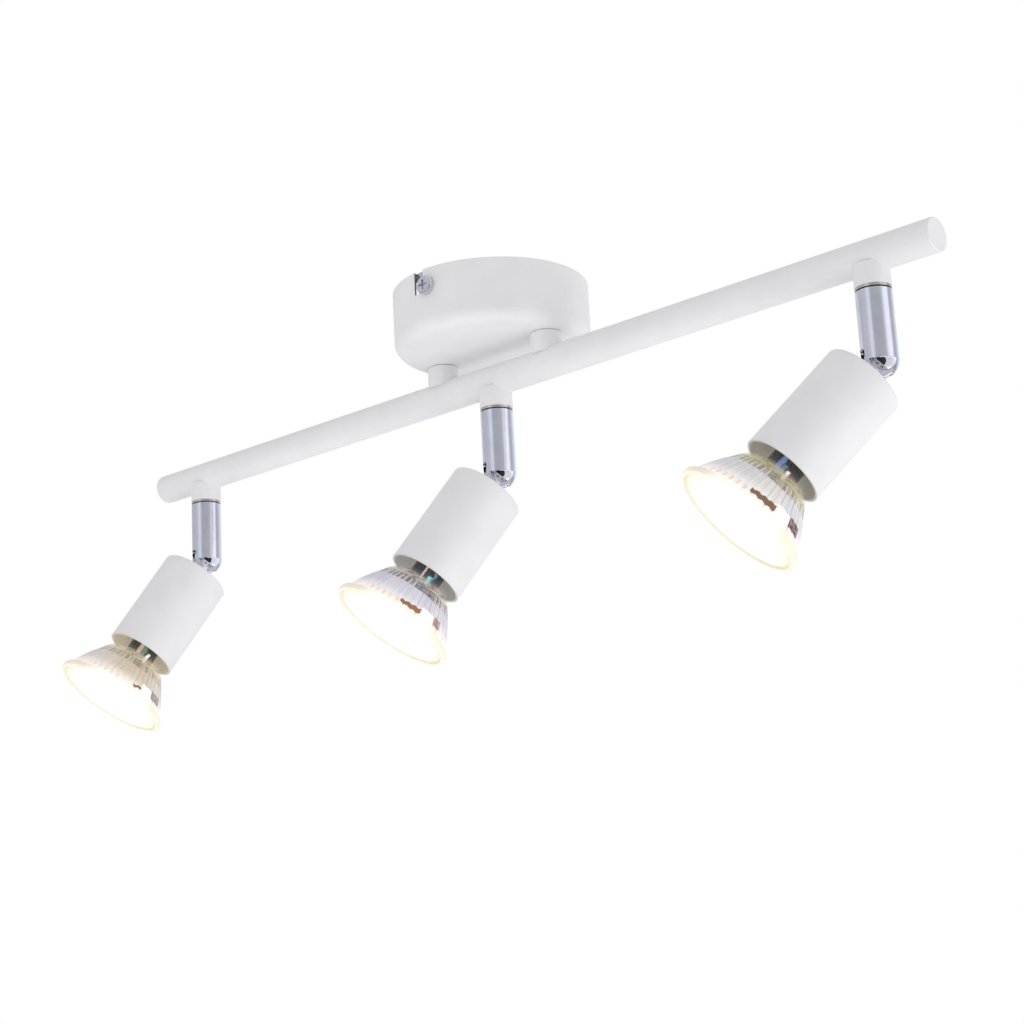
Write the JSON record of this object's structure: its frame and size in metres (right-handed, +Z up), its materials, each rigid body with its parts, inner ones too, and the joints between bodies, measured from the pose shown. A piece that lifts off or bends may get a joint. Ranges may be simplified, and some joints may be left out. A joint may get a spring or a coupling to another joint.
{
  "type": "ceiling spotlight bar",
  "caption": "Ceiling light: a straight round bar under a round canopy carries tilting, swivelling cylindrical spots with reflector lamps.",
  "frame": {"origin": "centre of the ceiling bracket's top face, in the plane where the canopy rim meets the ceiling", "axes": "+Z up into the ceiling, +X along the bar, the side screws of the canopy lie on the Y axis"},
  "size_m": [0.4284, 0.104, 0.1555],
  "materials": {
    "white_paint": "matt white powder coat on steel",
    "white_plastic": "moulded white plastic",
    "chrome": "polished chrome plate",
    "nickel": "nickel plate, slightly dulled",
    "zinc_steel": "bright zinc plate on steel",
    "brass": "plain brass",
    "terminal_plastic": "milky polyamide",
    "wire_insulation": "wire insulation",
    "black_sleeve": "black heat-resistant sleeve",
    "ceramic": null,
    "dark_base": "dark glossy lamp neck with a cool sheen",
    "lamp_glass": "clear moulded glass with fine flutes",
    "lit_lens": "opal lens, lit warm white"
  },
  "bodies": {
    "fixture": {"ceiling_bracket": "zinc_steel", "canopy": "white_paint", "canopy_screws": "zinc_steel", "terminal_block": "terminal_plastic", "terminal_screws": "brass", "earth_screw": "brass", "bar_wires": "wire_insulation", "post_left": "white_paint", "post_right": "white_paint", "post_nipples": "zinc_steel", "post_nuts": "zinc_steel", "bar_tube": "white_paint", "bar_end_plugs": "white_plastic", "collar_left": "white_paint", "collar_middle": "white_paint", "collar_right": "white_paint", "friction_washers": "nickel", "bar_inserts": "zinc_steel", "pan_nipples": "zinc_steel", "pan_nuts": "zinc_steel", "wire_sleeves": "black_sleeve"},
    "swivel_left": {"swivel_tube_left": "chrome"},
    "spot_left": {"friction_shoe_left": "zinc_steel", "tilt_stud_left": "zinc_steel", "tilt_spacer_left": "chrome", "housing_left": "white_paint", "stud_nut_left": "zinc_steel", "holder_bracket_left": "zinc_steel", "lampholder_left": "ceramic", "inner_lead_left": "black_sleeve", "lamp_pins_left": "nickel", "lamp_base_left": "dark_base", "lamp_glass_left": "lamp_glass", "lamp_lens_left": "lit_lens"},
    "swivel_middle": {"swivel_tube_middle": "chrome"},
    "spot_middle": {"friction_shoe_middle": "zinc_steel", "tilt_stud_middle": "zinc_steel", "tilt_spacer_middle": "chrome", "housing_middle": "white_paint", "stud_nut_middle": "zinc_steel", "holder_bracket_middle": "zinc_steel", "lampholder_middle": "ceramic", "inner_lead_middle": "black_sleeve", "lamp_pins_middle": "nickel", "lamp_base_middle": "dark_base", "lamp_glass_middle": "lamp_glass", "lamp_lens_middle": "lit_lens"},
    "swivel_right": {"swivel_tube_right": "chrome"},
    "spot_right": {"friction_shoe_right": "zinc_steel", "tilt_stud_right": "zinc_steel", "tilt_spacer_right": "chrome", "housing_right": "white_paint", "stud_nut_right": "zinc_steel", "holder_bracket_right": "zinc_steel", "lampholder_right": "ceramic", "inner_lead_right": "black_sleeve", "lamp_pins_right": "nickel", "lamp_base_right": "dark_base", "lamp_glass_right": "lamp_glass", "lamp_lens_right": "lit_lens"}
  },
  "joints": [
    {"name": "pan_left", "type": "hinge", "parent": "fixture", "child": "swivel_left", "pos_m": [-0.1785, 0, -0.0768], "axis": [0, 0, 1], "range_deg": [-148.75, 201.25]},
    {"name": "tilt_left", "type": "hinge", "parent": "swivel_left", "child": "spot_left", "pos_m": [-0.1785, 0, -0.0768], "axis": [-0.8969, 0.4423, 0], "range_deg": [-34.75, 55.25]},
    {"name": "pan_middle", "type": "hinge", "parent": "fixture", "child": "swivel_middle", "pos_m": [0, 0, -0.0768], "axis": [0, 0, 1], "range_deg": [-139.25, 210.75]},
    {"name": "tilt_middle", "type": "hinge", "parent": "swivel_middle", "child": "spot_middle", "pos_m": [0, 0, -0.0768], "axis": [-0.8116, 0.5842, 0], "range_deg": [-36.75, 53.25]},
    {"name": "pan_right", "type": "hinge", "parent": "fixture", "child": "swivel_right", "pos_m": [0.1785, 0, -0.0768], "axis": [0, 0, 1], "range_deg": [-129.5, 220.5]},
    {"name": "tilt_right", "type": "hinge", "parent": "swivel_right", "child": "spot_right", "pos_m": [0.1785, 0, -0.0768], "axis": [-0.7009, 0.7133, 0], "range_deg": [-44.5, 45.5]}
  ]
}
